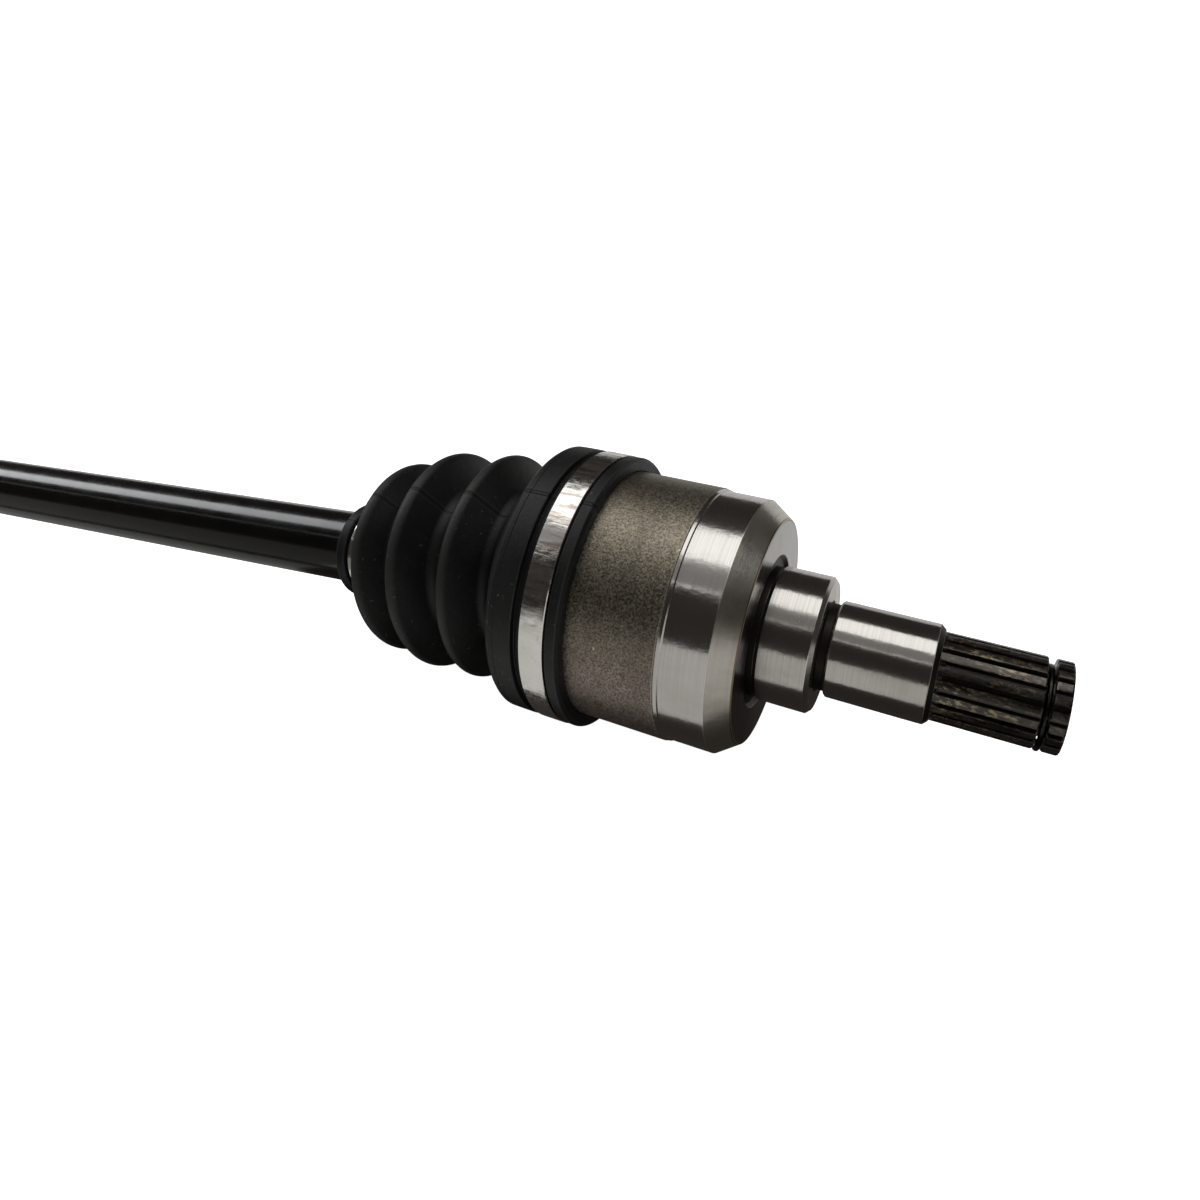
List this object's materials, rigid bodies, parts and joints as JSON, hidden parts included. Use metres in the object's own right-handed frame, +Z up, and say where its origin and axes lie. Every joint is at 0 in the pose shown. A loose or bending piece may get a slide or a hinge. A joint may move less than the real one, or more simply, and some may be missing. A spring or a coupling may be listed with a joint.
{
  "type": "cv axle",
  "caption": "Front drive axle: a solid black bar with a booted plunging ball joint and splined stub at one end and a booted fixed ball joint at the other.",
  "frame": {"origin": "middle of the bar, on its axis", "axes": "+X along the bar to the gearbox end, +Y across, +Z up; the gearbox housing droops from +X towards -Z"},
  "size_m": [0.7376, 0.0866, 0.0906],
  "materials": {
    "bar_paint": "gloss black",
    "boot_rubber": "matte",
    "clamp_steel": "polished band",
    "housing_steel": "turned and ground, with a blasted forged skin",
    "bell_steel": "blasted forging",
    "race_steel": "ground",
    "cage_steel": "phosphated",
    "ball_steel": "polished",
    "spring_wire": "black oxide"
  },
  "bodies": {
    "shaft": {"shaft_bar": "bar_paint", "inner_race": "race_steel", "inner_race_circlip": "spring_wire", "inner_boot_clamp_small": "clamp_steel", "outer_race": "race_steel", "outer_race_circlip": "spring_wire", "outer_boot_clamp_small": "clamp_steel"},
    "inner_swing_ball": {"inner_ball_1": "ball_steel"},
    "inner_cage_set": {"inner_cage": "cage_steel", "inner_ball_2": "ball_steel", "inner_ball_3": "ball_steel", "inner_ball_5": "ball_steel", "inner_ball_6": "ball_steel"},
    "inner_tilt_ball": {"inner_ball_4": "ball_steel"},
    "inner_boot_set": {"inner_boot": "boot_rubber"},
    "inner_housing_set": {"inner_housing": "housing_steel", "inner_retaining_ring": "spring_wire", "inner_stub_circlip": "spring_wire", "inner_boot_clamp_large": "clamp_steel"},
    "outer_steer_ball": {"outer_ball_1": "ball_steel"},
    "outer_cage_set": {"outer_cage": "cage_steel", "outer_ball_2": "ball_steel", "outer_ball_3": "ball_steel", "outer_ball_5": "ball_steel", "outer_ball_6": "ball_steel"},
    "outer_tilt_ball": {"outer_ball_4": "ball_steel"},
    "outer_housing_set": {"outer_housing": "bell_steel", "outer_boot": "boot_rubber", "outer_boot_clamp_large": "clamp_steel"}
  },
  "joints": [
    {"name": "inner_swing", "type": "hinge", "parent": "shaft", "child": "inner_swing_ball", "pos_m": [0.25, 0, 0], "axis": [0, 0, 1], "range_deg": [-7, 7]},
    {"name": "inner_tilt", "type": "hinge", "parent": "inner_swing_ball", "child": "inner_cage_set", "pos_m": [0.25, 0, 0], "axis": [0, 1, 0], "range_deg": [-10.1, 3.9], "deforming": ["inner_boot"]},
    {"name": "inner_tilt_follow", "type": "hinge", "parent": "inner_cage_set", "child": "inner_tilt_ball", "pos_m": [0.25, 0, 0], "axis": [0, 1, 0], "range_deg": [-10.1, 3.9]},
    {"name": "inner_swing_follow", "type": "hinge", "parent": "inner_tilt_ball", "child": "inner_boot_set", "pos_m": [0.25, 0, 0], "axis": [0.108, 0, 0.9942], "range_deg": [-7, 7]},
    {"name": "inner_plunge", "type": "slide", "parent": "inner_boot_set", "child": "inner_housing_set", "axis": [0.9942, 0, -0.108], "range_m": [-0.012, 0.006]},
    {"name": "outer_steer", "type": "hinge", "parent": "shaft", "child": "outer_steer_ball", "pos_m": [-0.25, 0, 0], "axis": [0, 0, 1], "range_deg": [-17.5, 17.5]},
    {"name": "outer_tilt", "type": "hinge", "parent": "outer_steer_ball", "child": "outer_cage_set", "pos_m": [-0.25, 0, 0], "axis": [0, 1, 0], "range_deg": [-6, 6], "deforming": ["outer_boot"]},
    {"name": "outer_tilt_follow", "type": "hinge", "parent": "outer_cage_set", "child": "outer_tilt_ball", "pos_m": [-0.25, 0, 0], "axis": [0, 1, 0], "range_deg": [-6, 6]},
    {"name": "outer_steer_follow", "type": "hinge", "parent": "outer_tilt_ball", "child": "outer_housing_set", "pos_m": [-0.25, 0, 0], "axis": [0, 0, 1], "range_deg": [-17.5, 17.5]}
  ],
  "couplings": [
    {"joint": "inner_tilt_follow", "follows": "inner_tilt", "ratio": 1},
    {"joint": "inner_swing_follow", "follows": "inner_swing", "ratio": 1},
    {"joint": "outer_tilt_follow", "follows": "outer_tilt", "ratio": 1},
    {"joint": "outer_steer_follow", "follows": "outer_steer", "ratio": 1}
  ]
}
